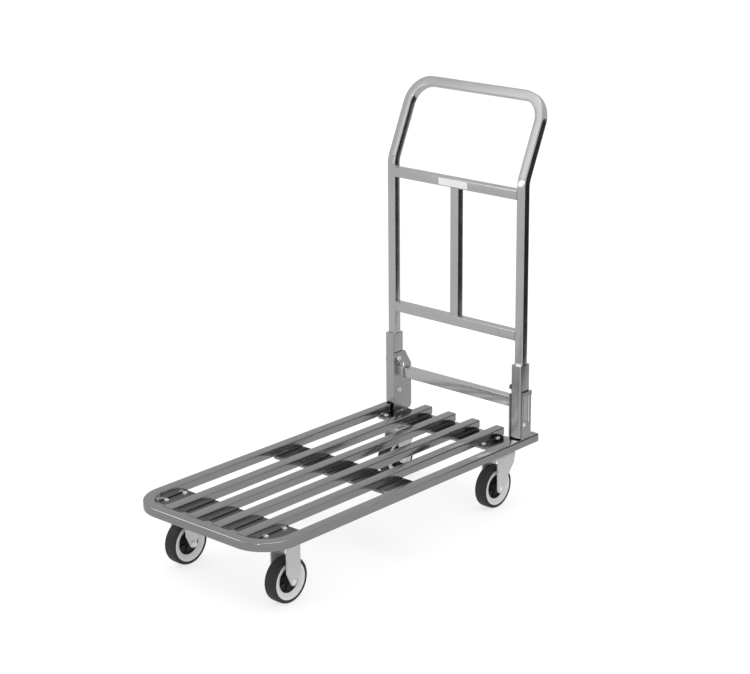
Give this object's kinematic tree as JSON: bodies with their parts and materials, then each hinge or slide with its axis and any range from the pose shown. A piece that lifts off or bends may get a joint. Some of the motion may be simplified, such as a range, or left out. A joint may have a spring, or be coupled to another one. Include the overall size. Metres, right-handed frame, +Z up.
{
  "type": "folding platform cart",
  "caption": "Steel platform cart with a slatted deck, a fold-down tube handle, two fixed front casters and two swivel rear casters.",
  "frame": {"origin": "on the floor, at the middle of the cart's footprint", "axes": "+X to the cart's right-hand side seen from its front, +Y from the front of the deck to the handle, +Z up"},
  "size_m": [0.414, 0.9304, 0.948],
  "materials": {
    "deck_steel": "satin",
    "bright_steel": "satin",
    "caster_steel": "satin",
    "fastener": "satin",
    "tyre_rubber": "matte",
    "ring_plastic": "matte",
    "hub_plastic": "matte",
    "label": "matte"
  },
  "bodies": {
    "deck": {"deck_rim_tube": "deck_steel", "front_cross_channel": "deck_steel", "front_left_axle_bolt": "fastener", "front_left_caster_plate": "caster_steel", "front_left_fork": "caster_steel", "front_right_axle_bolt": "fastener", "front_right_caster_plate": "caster_steel", "front_right_fork": "caster_steel", "hinge_inner_plate_left": "deck_steel", "hinge_inner_plate_right": "deck_steel", "hinge_outer_plate_left": "deck_steel", "hinge_outer_plate_right": "deck_steel", "middle_cross_channel": "deck_steel", "pivot_bolt_left": "fastener", "pivot_bolt_right": "fastener", "rear_cross_channel": "deck_steel", "rear_left_caster_plate": "caster_steel", "rear_left_kingpin": "fastener", "rear_left_swivel_race": "caster_steel", "rear_right_caster_plate": "caster_steel", "rear_right_kingpin": "fastener", "rear_right_swivel_race": "caster_steel", "rim_end_cap_left": "deck_steel", "rim_end_cap_right": "deck_steel", "slat_1": "deck_steel", "slat_2": "deck_steel", "slat_3": "deck_steel", "slat_4": "deck_steel"},
    "handle": {"blank_label_plate": "label", "handle_centre_post": "bright_steel", "handle_middle_bar": "bright_steel", "handle_tube": "bright_steel", "handle_upper_bar": "bright_steel", "leg_sleeve_left": "bright_steel", "leg_sleeve_right": "bright_steel", "stop_pin_left": "fastener", "stop_pin_right": "fastener"},
    "release_bar": {"release_bar_tube": "deck_steel", "release_tongue_left": "bright_steel", "release_tongue_right": "bright_steel"},
    "front_left_wheel": {"front_left_tyre": "tyre_rubber", "front_left_wheel_ring": "ring_plastic", "front_left_wheel_hub": "hub_plastic"},
    "front_right_wheel": {"front_right_tyre": "tyre_rubber", "front_right_wheel_ring": "ring_plastic", "front_right_wheel_hub": "hub_plastic"},
    "rear_left_wheel": {"rear_left_tyre": "tyre_rubber", "rear_left_wheel_ring": "ring_plastic", "rear_left_wheel_hub": "hub_plastic"},
    "rear_left_swivel": {"rear_left_fork": "caster_steel", "rear_left_axle_bolt": "fastener"},
    "rear_right_wheel": {"rear_right_tyre": "tyre_rubber", "rear_right_wheel_ring": "ring_plastic", "rear_right_wheel_hub": "hub_plastic"},
    "rear_right_swivel": {"rear_right_fork": "caster_steel", "rear_right_axle_bolt": "fastener"}
  },
  "joints": [
    {"name": "handle_fold", "type": "hinge", "parent": "deck", "child": "handle", "pos_m": [0, 0.36882, 0.2], "axis": [1, 0, 0], "range_deg": [0, 90]},
    {"name": "release_lift", "type": "slide", "parent": "deck", "child": "release_bar", "axis": [0, 0, 1], "range_m": [0, 0.008]},
    {"name": "front_left_roll", "type": "hinge", "parent": "deck", "child": "front_left_wheel", "pos_m": [-0.15, -0.35278, 0.05], "axis": [1, 0, 0], "continuous": true},
    {"name": "rear_left_swivel", "type": "hinge", "parent": "deck", "child": "rear_left_swivel", "pos_m": [-0.149, 0.35282, 0.12], "axis": [0, 0, 1], "continuous": true},
    {"name": "rear_left_roll", "type": "hinge", "parent": "rear_left_swivel", "child": "rear_left_wheel", "pos_m": [-0.149, 0.32822, 0.05], "axis": [1, 0, 0], "continuous": true},
    {"name": "front_right_roll", "type": "hinge", "parent": "deck", "child": "front_right_wheel", "pos_m": [0.15, -0.35278, 0.05], "axis": [1, 0, 0], "continuous": true},
    {"name": "rear_right_swivel", "type": "hinge", "parent": "deck", "child": "rear_right_swivel", "pos_m": [0.149, 0.35282, 0.12], "axis": [0, 0, 1], "continuous": true},
    {"name": "rear_right_roll", "type": "hinge", "parent": "rear_right_swivel", "child": "rear_right_wheel", "pos_m": [0.149, 0.32822, 0.05], "axis": [1, 0, 0], "continuous": true}
  ]
}
